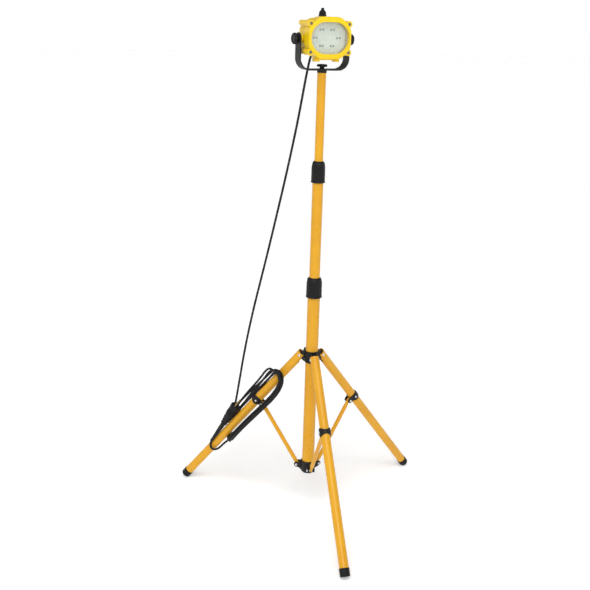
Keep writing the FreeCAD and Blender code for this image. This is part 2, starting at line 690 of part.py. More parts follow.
def rounded_path(name, points):
    """Straight runs joined by tangent arcs as large as the runs allow."""
    edges = []
    radii = []
    start = points[0]
    for before, corner, after in zip(points, points[1:], points[2:]):
        back = before - corner
        ahead = after - corner
        turn = math.pi - back.getAngle(ahead)
        reach = ARC_SHARE * min(back.Length, ahead.Length)
        radius = reach / math.tan(turn / 2)
        radii.append(round(radius, 1))
        back.normalize()
        ahead.normalize()
        enter = corner + back * reach
        leave = corner + ahead * reach
        middle = back + ahead
        middle.normalize()
        depth = radius * (1 / math.cos(turn / 2) - 1)
        edges.append(Part.LineSegment(start, enter).toShape())
        edges.append(Part.Arc(enter, corner + middle * depth, leave).toShape())
        start = leave
    edges.append(Part.LineSegment(start, points[-1]).toShape())
    print(name, "arc radii", radii)
    return Part.Wire(edges)


def cord_tube(name, points, radius):
    path = rounded_path(name, points)
    direction = points[1] - points[0]
    profile = Part.Wire(Part.makeCircle(radius, points[0], direction))
    tube = path.makePipeShell([profile], True, True)
    expected = math.pi * radius ** 2 * path.Length
    print(name, "length", round(path.Length, 1), "volume ratio", round(tube.Volume / expected, 4))
    return tube


def coil():
    points = [leg_point(*p) for p in COIL_ROUTE]
    middle = (points[0] + points[-1]) * 0.5
    step = points[0] - points[-1]
    step = step * (COIL_SEAM / 2 / step.Length)
    ring = cord_tube("coil", [middle + step] + points + [middle - step], COIL_R)
    entry = [leg_point(*p) for p in COIL_ENTRY]
    leaving = [leg_point(*p) for p in COIL_LEAVING]
    return fuse(ring, rod(CORD_R, *entry), rod(CORD_R, *leaving))


def plug_frame():
    """Origin at the plug's face; local z runs to the cord."""
    start, end = [leg_point(*p) for p in PLUG_AXIS]
    along_plug = (end - start).normalize()
    across = along_plug.cross(leg_point(0, 1, 0) - leg_point(0, 0, 0)).normalize()
    return frame(start, across, along_plug.cross(across), along_plug), (end - start).Length


def plug_body(length):
    """Turned outline: a wide grip, three steps and a long tapered strain relief."""
    outline = [(0, 0), (15, 0), (17, 2), (17, 40), (14.5, 46)]
    for i in range(3):
        outline += [(12.5 - i, 48 + 12 * i), (14 - 1.5 * i, 52 + 12 * i), (14 - 1.5 * i, 58 + 12 * i)]
    outline += [(8, 86), (4.9, length), (0, length)]
    points = [vec(radius, 0, height) for radius, height in outline]
    face = Part.Face(Part.makePolygon(points + points[:1]))
    return face.revolve(vec(0, 0, 0), Z, 360)


def build_cord():
    save("cord_run", cord_tube("cord_run", CORD_ROUTE, CORD_R))
    save("cord_tail", cord_tube("cord_tail", [leg_point(*p) for p in TAIL_ROUTE], CORD_R))
    save("cord_coil", coil())
    place, length = plug_frame()
    save("plug_body", placed(plug_body(length), place))
    pins = []
    for x in (-PIN_PITCH, PIN_PITCH):
        pins.append(rod(PLUG_PIN_R, vec(x, 0, -PLUG_PIN_LENGTH), vec(x, 0, 0)))
    save("plug_pins", placed(Part.makeCompound(pins), place))


build_tripod()
build_mast()
build_yoke()
build_head()
build_cord()
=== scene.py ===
import json
import math

import bmesh
import bpy
from mathutils import Matrix, Vector


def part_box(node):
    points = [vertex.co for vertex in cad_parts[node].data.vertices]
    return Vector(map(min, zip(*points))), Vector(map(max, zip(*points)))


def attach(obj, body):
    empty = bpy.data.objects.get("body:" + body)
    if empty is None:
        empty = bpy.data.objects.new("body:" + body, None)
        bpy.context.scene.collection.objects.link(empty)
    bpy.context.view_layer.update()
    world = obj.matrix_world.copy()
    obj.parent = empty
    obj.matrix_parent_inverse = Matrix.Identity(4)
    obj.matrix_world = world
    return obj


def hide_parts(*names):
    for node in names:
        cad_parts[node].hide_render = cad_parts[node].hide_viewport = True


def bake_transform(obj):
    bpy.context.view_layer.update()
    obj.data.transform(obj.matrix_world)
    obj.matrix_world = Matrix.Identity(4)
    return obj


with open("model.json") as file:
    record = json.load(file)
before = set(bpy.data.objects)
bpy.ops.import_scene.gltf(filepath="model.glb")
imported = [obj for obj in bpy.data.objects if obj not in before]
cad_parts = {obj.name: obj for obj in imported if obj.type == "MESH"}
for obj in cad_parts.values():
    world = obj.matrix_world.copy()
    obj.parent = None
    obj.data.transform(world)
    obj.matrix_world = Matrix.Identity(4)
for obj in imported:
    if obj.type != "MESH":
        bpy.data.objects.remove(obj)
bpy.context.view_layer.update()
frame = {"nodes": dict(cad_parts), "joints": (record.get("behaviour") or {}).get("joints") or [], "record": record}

MM = 0.001
NODES = frame["nodes"]
JOINTS = {j["name"]: j for j in frame["joints"]}


# ---------------------------------------------------------------- places read from the frame

def joint_point(name):
    return Vector(JOINTS[name]["pos_m"]) / MM


EAR_DROP = 21.0                      # leg clip pivot, inside the leg's centre line, mm
SPIDER_PIVOT = joint_point("strut_left_fold")
CLIP_PIVOT = joint_point("leg_left_swing")
PIVOT_RADIUS = SPIDER_PIVOT.to_2d().length
LINK = (CLIP_PIVOT - SPIDER_PIVOT).length
LINK_TILT = math.acos((CLIP_PIVOT.z - SPIDER_PIVOT.z) / LINK)
SPLAY = LINK_TILT + math.asin(EAR_DROP / LINK)
HUB_Z = 2 * CLIP_PIVOT.z - SPIDER_PIVOT.z
CLIP_S = math.sqrt(LINK ** 2 - EAR_DROP ** 2)
TILT_Z = joint_point("head_tilt").z
UP = Vector((0, 0, 1))
SQUARE = ((-1, -1), (1, -1), (1, 1), (-1, 1))
LEGS = ("front", "right", "left")


def leg_azimuth(leg):
    name = "tripod_fold" if leg == "front" else f"strut_{leg}_fold"
    p = joint_point(name)
    return math.atan2(p.y, p.x)


def axes_matrix(origin, x_axis, y_axis, z_axis):
    """Millimetres in the piece's own axes to metres in the frame."""
    m = Matrix((x_axis, y_axis, z_axis)).transposed().to_4x4()
    m.translation = origin
    return Matrix.Scale(MM, 4) @ m


def leg_directions(leg):
    """Outwards from the mast through the leg, and round the mast."""
    a = leg_azimuth(leg)
    return Vector((math.cos(a), math.sin(a), 0)), Vector((-math.sin(a), math.cos(a), 0))


def leg_axes(leg):
    """Origin at the hub pivot; z runs down the leg, x points up and outwards."""
    r, t = leg_directions(leg)
    down = r * math.sin(SPLAY) - UP * math.cos(SPLAY)
    out = r * math.cos(SPLAY) + UP * math.sin(SPLAY)
    return axes_matrix(r * PIVOT_RADIUS + UP * HUB_Z, out, -t, down)


LEFT_LEG = leg_axes("left")


def by_leg(s, v, w):
    """A point by the left leg: s along it from the hub pivot, v outwards, w round the mast."""
    return LEFT_LEG @ Vector((v, -w, s))


# ---------------------------------------------------------------- camera, light and floor

CAMERA_YAW = math.radians(25)        # the camera stands to the -X side of the lamp's front
CAMERA_REACH = 2.5796
CAMERA_HEIGHT = 1.5162
CAMERA_DIP = math.radians(18.78)
CAMERA_ROLL = math.radians(2.05)
CAMERA_LENS = 54.66
CAMERA_SHIFT = (-0.0307, 0.0356)
SENSOR_WIDTH = 36
SUN_POWER = 1.9
SUN_SPREAD = math.radians(50)
SUN_DIRECTION = (0.55, 0.75, -1.5)
# Name, place, width, power and the point it faces, in metres and watts.
AREA_LIGHTS = [
    ("fill", (-1.4, -2.4, 2.4), 0.9, 12, (0, 0, 1.2)),
    ("head_light", (0.6, -1.5, 2.3), 0.7, 5, (0, 0, 1.4)),
]
FLOOR_HALF = 30
FLOOR_DROP = 0.0005
FLOOR_TONE = 0.93
FLOOR_GLOW = 0.27
HORIZON_TOP = 0.22                   # height on the unit sphere where the white horizon starts to dim
CEILING_START = 0.40
CEILING_LIGHT = 0.2


def build_camera():
    data = bpy.data.cameras.new("camera")
    data.lens = CAMERA_LENS
    data.sensor_width = SENSOR_WIDTH
    data.shift_x, data.shift_y = CAMERA_SHIFT
    camera = bpy.data.objects.new("camera", data)
    bpy.context.scene.collection.objects.link(camera)
    look = Vector((math.sin(CAMERA_YAW), math.cos(CAMERA_YAW), 0))
    right = Vector((look.y, -look.x, 0))
    forward = look * math.cos(CAMERA_DIP) - UP * math.sin(CAMERA_DIP)
    up = right.cross(forward)
    x_axis = right * math.cos(CAMERA_ROLL) + up * math.sin(CAMERA_ROLL)
    y_axis = up * math.cos(CAMERA_ROLL) - right * math.sin(CAMERA_ROLL)
    m = Matrix((x_axis, y_axis, -forward)).transposed().to_4x4()
    m.translation = UP * CAMERA_HEIGHT - look * CAMERA_REACH
    camera.matrix_world = m
    bpy.context.scene.camera = camera


def area_light(name, place, size, power, aim):
    data = bpy.data.lights.new(name, "AREA")
    data.shape = "DISK"
    data.size = size
    data.energy = power
    light = bpy.data.objects.new(name, data)
    bpy.context.scene.collection.objects.link(light)
    light.location = place
    light.rotation_euler = (Vector(aim) - Vector(place)).to_track_quat("-Z", "Y").to_euler()


def build_stage():
    scene = bpy.context.scene
    scene.view_settings.view_transform = "Standard"
    scene.world = studio_world()
    data = bpy.data.lights.new("high_key", "SUN")
    data.energy = SUN_POWER
    data.angle = SUN_SPREAD
    sun = bpy.data.objects.new("high_key", data)
    scene.collection.objects.link(sun)
    sun.rotation_euler = Vector(SUN_DIRECTION).to_track_quat("-Z", "Y").to_euler()
    for light in AREA_LIGHTS:
        area_light(*light)
    build_floor()


def build_floor():
    mesh = bpy.data.meshes.new("floor")
    corners = [(x * FLOOR_HALF, y * FLOOR_HALF, 0) for x, y in SQUARE]
    mesh.from_pydata(corners, [], [(0, 1, 2, 3)])
    floor = bpy.data.objects.new("floor", mesh)
    bpy.context.scene.collection.objects.link(floor)
    floor.location.z = -FLOOR_DROP
    pale = bpy.data.materials.new("pale_floor")
    pale.use_nodes = True
    shader = pale.node_tree.nodes["Principled BSDF"]
    shader.inputs["Base Color"].default_value = (FLOOR_TONE, FLOOR_TONE, FLOOR_TONE, 1)
    shader.inputs["Roughness"].default_value = 0.8
    shader.inputs["Specular IOR Level"].default_value = 0.1
    shader.inputs["Emission Color"].default_value = (1, 1, 1, 1)
    shader.inputs["Emission Strength"].default_value = FLOOR_GLOW
    mesh.materials.append(pale)


def studio_world():
    """White all round at the horizon, and a dimmer ceiling."""
    world = bpy.data.worlds.new("studio")
    world.use_nodes = True
    nodes, links = world.node_tree.nodes, world.node_tree.links
    place = nodes.new("ShaderNodeTexCoord")
    split = nodes.new("ShaderNodeSeparateXYZ")
    band = nodes.new("ShaderNodeMapRange")
    band.inputs["From Min"].default_value = HORIZON_TOP
    band.inputs["From Max"].default_value = CEILING_START
    band.inputs["To Min"].default_value = 1.0
    band.inputs["To Max"].default_value = CEILING_LIGHT
    links.new(place.outputs["Generated"], split.inputs["Vector"])
    links.new(split.outputs["Z"], band.inputs["Value"])
    links.new(band.outputs["Result"], nodes["Background"].inputs["Strength"])
    nodes["Background"].inputs["Color"].default_value = (1, 1, 1, 1)
    return world


# ---------------------------------------------------------------- materials

class Recipe:
    """A small wrapper that builds one node material."""

    def __init__(self, name):
        self.material = bpy.data.materials.new(name)
        self.material.use_nodes = True
        self.tree = self.material.node_tree
        self.shader = self.tree.nodes["Principled BSDF"]
        self.place = self.add("ShaderNodeTexCoord").outputs["Object"]

    def add(self, kind, **settings):
        node = self.tree.nodes.new(kind)
        for key, value in settings.items():
            setattr(node, key, value)
        return node

    def link(self, start, end):
        self.tree.links.new(start, end)

    def set(self, **values):
        for key, value in values.items():
            socket = self.shader.inputs[key.replace("_", " ")]
            if hasattr(value, "is_output"):
                self.link(value, socket)
            else:
                socket.default_value = value

    def noise(self, scale, detail=4.0, roughness=0.5, stretch=(1, 1, 1)):
        mapping = self.add("ShaderNodeMapping")
        mapping.inputs["Scale"].default_value = stretch
        self.link(self.place, mapping.inputs["Vector"])
        node = self.add("ShaderNodeTexNoise")
        node.inputs["Scale"].default_value = scale
        node.inputs["Detail"].default_value = detail
        node.inputs["Roughness"].default_value = roughness
        self.link(mapping.outputs["Vector"], node.inputs["Vector"])
        return node.outputs["Fac"]

    def ramp(self, factor, *stops):
        """stops are (position, colour) pairs."""
        node = self.add("ShaderNodeValToRGB")
        elements = node.color_ramp.elements
        while len(elements) < len(stops):
            elements.new(0.5)
        for element, (position, colour) in zip(elements, stops):
            element.position = position
            element.color = colour if len(colour) == 4 else (*colour, 1)
        self.link(factor, node.inputs["Fac"])
        return node.outputs["Color"]

    def spread(self, factor, low, high, start=0.3, end=0.7):
        node = self.add("ShaderNodeMapRange")
        node.inputs["From Min"].default_value = start
        node.inputs["From Max"].default_value = end
        node.inputs["To Min"].default_value = low
        node.inputs["To Max"].default_value = high
        self.link(factor, node.inputs["Value"])
        return node.outputs["Result"]

    def mix(self, factor, first, second, blend="MIX"):
        node = self.add("ShaderNodeMix", data_type="RGBA", blend_type=blend)
        pairs = ((factor, node.inputs[0]), (first, node.inputs[6]), (second, node.inputs[7]))
        for value, socket in pairs:
            if hasattr(value, "is_output"):
                self.link(value, socket)
            else:
                socket.default_value = value
        return node.outputs[2]

    def worn_edges(self, low=0.52, high=0.6):
        geometry = self.add("ShaderNodeNewGeometry")
        return self.spread(geometry.outputs["Pointiness"], 0, 1, low, high)

    def bump(self, height, strength, distance):
        node = self.add("ShaderNodeBump")
        node.inputs["Strength"].default_value = strength
        node.inputs["Distance"].default_value = distance
        self.link(height, node.inputs["Height"])
        self.link(node.outputs["Normal"], self.shader.inputs["Normal"])


def paint(name, light, deep, gloss, grain):
    """Sprayed paint: slow drift between two tones, a faint orange peel and fine rubbed marks."""
    r = Recipe(name)
    drift = r.ramp(r.noise(9, 3), (0.3, light), (0.72, deep))
    specks = r.ramp(r.noise(420, 2), (0.60, (1, 1, 1)), (0.74, (0.78, 0.74, 0.70)))
    colour = r.mix(1.0, drift, specks, "MULTIPLY")
    r.set(Base_Color=colour, Roughness=r.spread(r.noise(60, 5), gloss - 0.06, gloss + 0.12))
    r.set(Coat_Weight=0.06, Coat_Roughness=0.2, Specular_IOR_Level=0.3)
    r.bump(r.noise(grain, 2), 0.12, 0.0004)
    return r.material


def black_plastic(name, tone, gloss, grain=900):
    """Moulded nylon with a fine spark-eroded grain, a little greyer where it is rubbed."""
    r = Recipe(name)
    base = (tone, tone, tone * 1.08)
    worn = (tone * 3.2, tone * 3.2, tone * 3.3)
    drift = r.ramp(r.noise(45, 5), (0.35, base), (0.8, (tone * 1.7, tone * 1.7, tone * 1.75)))
    colour = r.mix(r.worn_edges(), drift, (*worn, 1))
    r.set(Base_Color=colour, Roughness=r.spread(r.noise(70, 5), gloss - 0.08, gloss + 0.12))
    r.set(Specular_IOR_Level=0.2)
    r.bump(r.noise(grain, 3), 0.25, 0.0003)
    return r.material


def cord_rubber():
    """Heavy rubber sheath: almost black, silky, with a faint dusting."""
    r = Recipe("cord_rubber")
    dust = r.ramp(r.noise(38, 6), (0.4, (0.005, 0.005, 0.006)), (0.78, (0.013, 0.013, 0.015)))
    r.set(Base_Color=dust, Roughness=r.spread(r.noise(120, 4), 0.34, 0.55), Specular_IOR_Level=0.24)
    r.bump(r.noise(1500, 2), 0.18, 0.0002)
    return r.material


def steel(name, tone, rough):
    r = Recipe(name)
    shade = r.ramp(r.noise(130, 5), (0.3, (tone, tone, tone * 0.98)), (0.75, (tone * 0.72,) * 3))
    r.set(Base_Color=shade, Metallic=1.0, Roughness=r.spread(r.noise(300, 4), rough - 0.08, rough + 0.14))
    r.bump(r.noise(700, 3), 0.1, 0.0002)
    return r.material


def lens_plastic():
    """Clear polycarbonate with a fine prismatic back: milky, but the lamps show through."""
    r = Recipe("lens_clear")
    haze = r.ramp(r.noise(26, 4), (0.3, (0.62, 0.70, 0.65)), (0.7, (0.70, 0.78, 0.73)))
    r.set(Base_Color=haze, Roughness=r.spread(r.noise(55, 4), 0.1, 0.2), IOR=1.49)
    r.set(Alpha=r.spread(r.noise(140, 3), 0.20, 0.30), Coat_Weight=0.5, Coat_Roughness=0.05)
    r.bump(r.noise(240, 2), 0.10, 0.0006)
    return r.material


def simple(name, low, high, rough, metallic=0.0, scale=80):
    r = Recipe(name)
    r.set(Base_Color=r.ramp(r.noise(scale, 4), (0.3, low), (0.7, high)), Metallic=metallic)
    r.set(Roughness=r.spread(r.noise(scale * 2, 4), rough - 0.08, rough + 0.1))
    r.bump(r.noise(scale * 8, 3), 0.12, 0.0003)
    return r.material


def build_materials():
    return {
        "golden_tube": paint("golden_tube", (0.74, 0.375, 0.014), (0.66, 0.31, 0.012), 0.3, 350),
        "yellow_casting": paint("yellow_casting", (0.86, 0.60, 0.006), (0.78, 0.50, 0.005), 0.27, 260),
        "black_nylon": black_plastic("black_nylon", 0.0055, 0.45),
        "black_steel": black_plastic("black_steel", 0.005, 0.5, 500),
        "black_rubber": black_plastic("black_rubber", 0.005, 0.55, 1200),
        "cord_rubber": cord_rubber(),
        "zinc_steel": steel("zinc_steel", 0.78, 0.26),
        "dull_steel": steel("dull_steel", 0.22, 0.38),
        "pin_brass": simple("pin_brass", (0.36, 0.26, 0.11), (0.46, 0.35, 0.16), 0.35, 1.0, 120),
        "lens_clear": lens_plastic(),
        "white_plastic": simple("white_plastic", (0.74, 0.81, 0.76), (0.83, 0.88, 0.84), 0.4),
        "board": simple("board", (0.62, 0.68, 0.64), (0.72, 0.77, 0.73), 0.5),
        "led_yellow": simple("led_yellow", (0.045, 0.035, 0.03), (0.09, 0.075, 0.055), 0.25),
        "heat_sink_alloy": simple("heat_sink_alloy", (0.5, 0.5, 0.51), (0.62, 0.62, 0.63), 0.35, 1.0),
        "driver_plastic": simple("driver_plastic", (0.02, 0.02, 0.02), (0.05, 0.05, 0.05), 0.5),
    }


MATERIALS = {}


def dress(obj, slot):
    """Gives a piece its material."""
    obj.data.materials.clear()
    obj.data.materials.append(MATERIALS[slot])
    return obj


def dress_nodes():
    for part in frame["record"]["subparts"]:
        obj = NODES[part["node"]]
        obj.data.materials.clear()
        obj.data.materials.append(MATERIALS[part["material_slot"]])


# ---------------------------------------------------------------- mesh helpers

def new_object(name, mesh):
    obj = bpy.data.objects.new(name, mesh)
    bpy.context.scene.collection.objects.link(obj)
    return obj


def smooth(mesh, angle=35):
    mesh.polygons.foreach_set("use_smooth", [True] * len(mesh.polygons))
    mesh.set_sharp_from_angle(angle=math.radians(angle))


def tube_mesh(name, points, radius, sides=14):
    """A round tube along a line of points, capped at both ends."""
    mesh = bpy.data.meshes.new(name)
    bm = bmesh.new()
    tangents = []
    for i in range(len(points)):
        ahead = points[min(i + 1, len(points) - 1)] - points[max(i - 1, 0)]
        tangents.append(ahead.normalized())
    normal = tangents[0].orthogonal().normalized()
    rings = []
    for point, tangent in zip(points, tangents):
        normal = (normal - tangent * normal.dot(tangent)).normalized()
        side = tangent.cross(normal)
        ring = []
        for k in range(sides):
            a = 2 * math.pi * k / sides
            ring.append(bm.verts.new(point + (normal * math.cos(a) + side * math.sin(a)) * radius))
        rings.append(ring)
    for first, second in zip(rings, rings[1:]):
        for k in range(sides):
            n = (k + 1) % sides
            bm.faces.new((first[k], first[n], second[n], second[k]))
    bm.faces.new(list(reversed(rings[0])))
    bm.faces.new(rings[-1])
    bmesh.ops.recalc_face_normals(bm, faces=bm.faces)
    bm.to_mesh(mesh)
    bm.free()
    smooth(mesh, 50)
    return new_object(name, mesh)


# ---------------------------------------------------------------- power cord

CORD_D = 0.007
CORD_SPACING = 0.004                 # between the points that a tube follows
RUN_ROUTE = [                        # from the gland to the coil, mm
    (23.5, 66, 1421), (23.5, 94, 1421), (20.5, 117.5, 1402), (13, 124, 1367),
    (-24.3, 123.8, 1153), (-90, 143.4, 827), (-149, 163.2, 556),
]
RUN_END = [(293.95, 49.6, -14.6), (322, 36, -18)]      # s, v, w by the left leg
# One turn of the coil, round the leg: s, v, w.
TURN = [
    (355, 20, -20), (392, 8, -26), (413, -14, -21), (417, -28, -3), (403, -29, 15), (372, -27, 24),
    (310, -27, 28), (230, -30, 30), (165, -32, 30), (117, -26, 31), (90, -5, 31), (91, 21, 19),
    (116, 29, 5), (170, 26, 0), (240, 28, -7), (300, 26, -15),
]
# Each turn's place in the bundle: away from the leg and beside it, right of the leg then left of it.
STRANDS = [
    ((-3, -7), (-9, -4)), ((-3, 0), (-9, 4)), ((-3, 7), (-1.5, -3)),
    ((3.5, -3.5), (16, 1)), ((3.5, 4), (5.5, 2)),
]
DRIFT_STEPS = 4                      # loop points over which a strand moves to the next turn's place
CROSSING = 20                        # half the width over which the right bundle becomes the left one
SWAY_OUT = 0.5
SWAY_BESIDE = 0.6
COIL_ENTRY = (338, 28.2, -19.5)
LEAVING = [(394, 6, -26), (412, -14, -22), (420, -25, -8)]
TAIL = [
    (430, -24, -2), (442, -22, 1), (454, -22, 3), (466, -21, 9), (476, -14, 18),
    (478, -2, 20), (471, 9, 17), (460, 13.5, 15),
]


def spline_points(points):
    """Points along one smooth NURBS line, read from a curve with no bevel."""
    data = bpy.data.curves.new("route", "CURVE")
    data.dimensions = "3D"
    data.resolution_u = 16
    spline = data.splines.new("NURBS")
    spline.points.add(len(points) - 1)
    for target, point in zip(spline.points, points):
        target.co = (*point, 1)
    spline.order_u = 3
    spline.use_endpoint_u = True
    curve = new_object("route", data)
    mesh = bpy.data.meshes.new_from_object(curve)
    line = [v.co.copy() for v in mesh.vertices]
    bpy.data.objects.remove(curve)
    bpy.data.curves.remove(data)
    bpy.data.meshes.remove(mesh)
    return even(line, CORD_SPACING)


def even(line, spacing):
    """The same line with its points a steady distance apart."""
    lengths = [0.0]
    for a, b in zip(line, line[1:]):
        lengths.append(lengths[-1] + (b - a).length)
    count = max(2, round(lengths[-1] / spacing))
    result = []
    i = 0
    for k in range(count + 1):
        wanted = lengths[-1] * k / count
        while i < len(lengths) - 2 and lengths[i + 1] < wanted:
            i += 1
        share = (wanted - lengths[i]) / max(lengths[i + 1] - lengths[i], 1e-9)
        result.append(line[i].lerp(line[i + 1], share))
    return result


def strand_offset(turn, k):
    """Where a turn lies in the bundle at one of the loop's points, drifting to the next turn's place."""
    leftness = min(1.0, max(0.0, (TURN[k][1] + CROSSING) / (2 * CROSSING)))
    share = max(0.0, (k - len(TURN) + DRIFT_STEPS) / DRIFT_STEPS)
    places = []
    for n in (turn, turn + 1):
        right, left = (Vector(p) for p in STRANDS[n % len(STRANDS)])
        places.append(right.lerp(left, leftness))
    return places[0].lerp(places[1], share)


def coil_points():
    """The turns, each strand in its own place in the bundle, then the tail to the plug."""
    count = len(TURN)
    loop = [Vector(p) for p in TURN]
    points = []
    for turn in range(len(STRANDS)):
        for k in range(count):
            away, beside = strand_offset(turn, k)
            here = loop[k]
            along = (loop[(k + 1) % count] - loop[k - 1]).normalized()
            out = Vector((0, here.y, here.z))
            out = (out - along * out.dot(along)).normalized()
            side = along.cross(out)
            wander = math.sin(2.1 * turn + 1.3 * k)
            points.append(here + out * (away + wander * SWAY_OUT) + side * (beside + wander * SWAY_BESIDE))
    points += [Vector(p) for p in LEAVING + TAIL]
    return [by_leg(*p) for p in points]


def cut_line(line, heights):
    """Splits a falling line where it passes the given heights."""
    parts = []
    rest = line
    for height in heights:
        i = next(k for k, p in enumerate(rest) if p.z < height and k > 1)
        parts.append(rest[:i + 1])
        rest = rest[i:]
    parts.append(rest)
    return parts


# Piece, the bodies at its two ends, and the height where it gives way to the next, in metres.
CORD_SPANS = [
    ("cord_at_head", "head", "yoke", 1.335),
    ("cord_at_yoke", "yoke", "mast_upper", 1.200),
    ("cord_upper", "mast_upper", "mast_middle", 0.800),
    ("cord_middle", "mast_middle", "root", 0.400),
    ("cord_lower", "root", "strut_left", 0.335),
    ("cord_to_coil", "strut_left", "leg_left", None),
]


def build_cords():
    """The free stretch, one piece between each two bodies that it passes."""
    route = [Vector(p) * MM for p in RUN_ROUTE] + [by_leg(*p) for p in RUN_END]
    line = spline_points(route)
    parts = cut_line(line, [span[3] for span in CORD_SPANS[:-1]])
    for (name, first, second, _), points in zip(CORD_SPANS, parts):
        tube = tube_mesh(name, points, CORD_D / 2)
        dress(tube, "cord_rubber")
        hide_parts("cord_run")
        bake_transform(tube)
    return line


def build_coil(run_end):
    line = spline_points([run_end, by_leg(*COIL_ENTRY)] + coil_points())
    coil = tube_mesh("cord_coiled", line, CORD_D / 2)
    dress(coil, "cord_rubber")
    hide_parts("cord_coil", "cord_tail")
    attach(coil, "leg_left")


# ---------------------------------------------------------------- detailed pieces

def add_grid(bm, rows):
    """Faces between rows of points; each row is a ring. Rows of one point make a pole."""
    made = [[bm.verts.new(p) for p in row] for row in rows]
    for first, second in zip(made, made[1:]):
        for k in range(max(len(first), len(second))):
            a, b = first[k % len(first)], first[(k + 1) % len(first)]
            c, d = second[(k + 1) % len(second)], second[k % len(second)]
            corners = [v for i, v in enumerate((a, b, c, d)) if v not in (a, b, c, d)[:i]]
            bm.faces.new(corners)
    return made


def add_capped(bm, rows):
    """The same, closed by a face at each end."""
    made = add_grid(bm, rows)
    bm.faces.new(made[0])
    bm.faces.new(made[-1])


def finish_mesh(name, bm, matrix, slot, angle=35):
    """Makes the piece and shades it, with a sharp edge wherever faces meet at more than the angle."""
    bm.transform(matrix)
    bmesh.ops.recalc_face_normals(bm, faces=bm.faces)
    mesh = bpy.data.meshes.new(name)
    bm.to_mesh(mesh)
    bm.free()
    smooth(mesh, angle)
    return dress(new_object(name, mesh), slot)


def settle(obj, body, *nodes):
    """Ties a piece to its body and hides the CAD nodes that it stands for."""
    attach(obj, body)
    if nodes:
        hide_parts(*nodes)
    return obj


def add_turned(bm, outline, sides=48, lobes=0, depth=0.0, lobe_span=None, matrix=None):
    """A turned form: outline is (radius, height) pairs; lobes scallop it over a span of heights."""
    rows = []
    for radius, height in outline:
        if radius < 1e-6:
            rows.append([Vector((0, 0, height))])
            continue
        row = []
        for k in range(sides):
            a = 2 * math.pi * k / sides
            r = radius
            if lobes and lobe_span[0] <= height <= lobe_span[1]:
                r -= depth * (0.5 - 0.5 * math.cos(lobes * a)) ** 2
            row.append(Vector((r * math.cos(a), r * math.sin(a), height)))
        rows.append(row)
    if matrix:
        rows = [[matrix @ p for p in row] for row in rows]
    add_grid(bm, rows)


def add_plate(bm, outline, thickness, soft, matrix):
    """A plate cut to an outline in local x and z, centred on y = 0, with softened edges."""
    centre = sum((Vector((x, 0, z)) for x, z in outline), Vector()) / len(outline)
    half = thickness / 2
    rows = []
    for y, inset in ((-half, soft), (-half + soft, 0), (half - soft, 0), (half, soft)):
        row = []
        for x, z in outline:
            p = Vector((x, y, z))
            pull = centre - Vector((x, 0, z))
            row.append(matrix @ (p + pull.normalized() * inset))
        rows.append(row)
    add_capped(bm, rows)


def lug_outline(root, tip, root_half, tip_r, arc=14):
    """From a straight root to a round nose about (tip, 0)."""
    points = [(root, -root_half)]
    for k in range(arc + 1):
        a = -math.pi / 2 + math.pi * k / arc
        points.append((tip + tip_r * math.cos(a), tip_r * math.sin(a)))
    points.append((root, root_half))
    return points


def shift(x=0.0, y=0.0, z=0.0):
    return Matrix.Translation((x, y, z))


def facing(axis):
    """Turns local z to a direction."""
    return Vector(axis).to_track_quat("Z", "Y").to_matrix().to_4x4()


METRES = Matrix.Scale(MM, 4)


def body_of_leg(leg):
    return f"leg_{leg}"


def lock_sleeve(name, body, low, high, radius, bore):
    """Twist lock: rounded shoulder, shallow upright facets and a flared rim below."""
    bm = bmesh.new()
    tall = high - low
    outline = [
        (bore + 0.1, 0), (radius - 0.6, 0), (radius, 0.6), (radius, 2.6), (radius - 0.9, 4.2),
        (radius - 1.0, 8), (radius - 1.1, tall * 0.5), (radius - 1.1, tall - 16), (radius - 1.3, tall - 9),
        (radius - 1.9, tall - 4), (radius - 2.6, tall - 1.4), (radius - 3.3, tall), (bore + 0.1, tall),
        (bore + 0.1, 0),
    ]
    add_turned(bm, outline, sides=120, lobes=20, depth=0.7, lobe_span=(5, tall - 12))
    return settle(finish_mesh(name, bm, METRES @ shift(z=low), "black_nylon", 40), body, body)


def collet(name, body, node, low, high, radius, tube):
    """Tapered shoulder over the lock, with slight grip facets round its foot."""
    bm = bmesh.new()
    tall = high - low
    outline = [
        (tube + 0.06, 0), (radius, 0), (radius, 1.2), (radius - 0.7, 3.0), (radius - 2.0, 5.0),
        (radius - 3.6, 6.7), (tube + 1.0, tall - 0.2), (tube + 0.06, tall), (tube + 0.06, 0),
    ]
    add_turned(bm, outline, sides=96, lobes=10, depth=0.5, lobe_span=(0.5, 6))
    return settle(finish_mesh(name, bm, METRES @ shift(z=low), "black_nylon", 40), body, node)


# Which lock, the body its shoulder rides on, then radii in mm: inner tube, sleeve, sleeve's bore.
LOCKS = [("lower", "root", 16, 24.6, 19.0), ("upper", "mast_middle", 12.5, 21.0, 16.0)]
SHOULDER_STEP = 2.7                  # how much narrower the shoulder is than the sleeve


def heights(node):
    return (corner.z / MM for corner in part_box(node))


def build_locks():
    for side, body, tube, outer, bore in LOCKS:
        lock_sleeve(f"{side}_lock_sleeve", f"{side}_lock", *heights(f"{side}_lock"), outer, bore)
        collet(f"{side}_lock_shoulder", body, f"{side}_collet", *heights(f"{side}_collet"),
               outer - SHOULDER_STEP, tube)


CLIP_SLOT = 6.6                      # half the gap between the band's two ends
BOSS_FACE = 15.2                     # where a bolt boss starts, to either side of the leg
EAR_MIDDLE = 9.05                    # an ear's middle, to either side of the leg or strut
EAR_THICK = 4.8
EAR_FACE = 11.5                      # where a rivet's head sits
BOLT_FACE = 17.3                     # where a clip bolt's head or nut sits
PIN_R = 2.45
RIVET_HEAD = (4.2, 2.8)              # radius and height


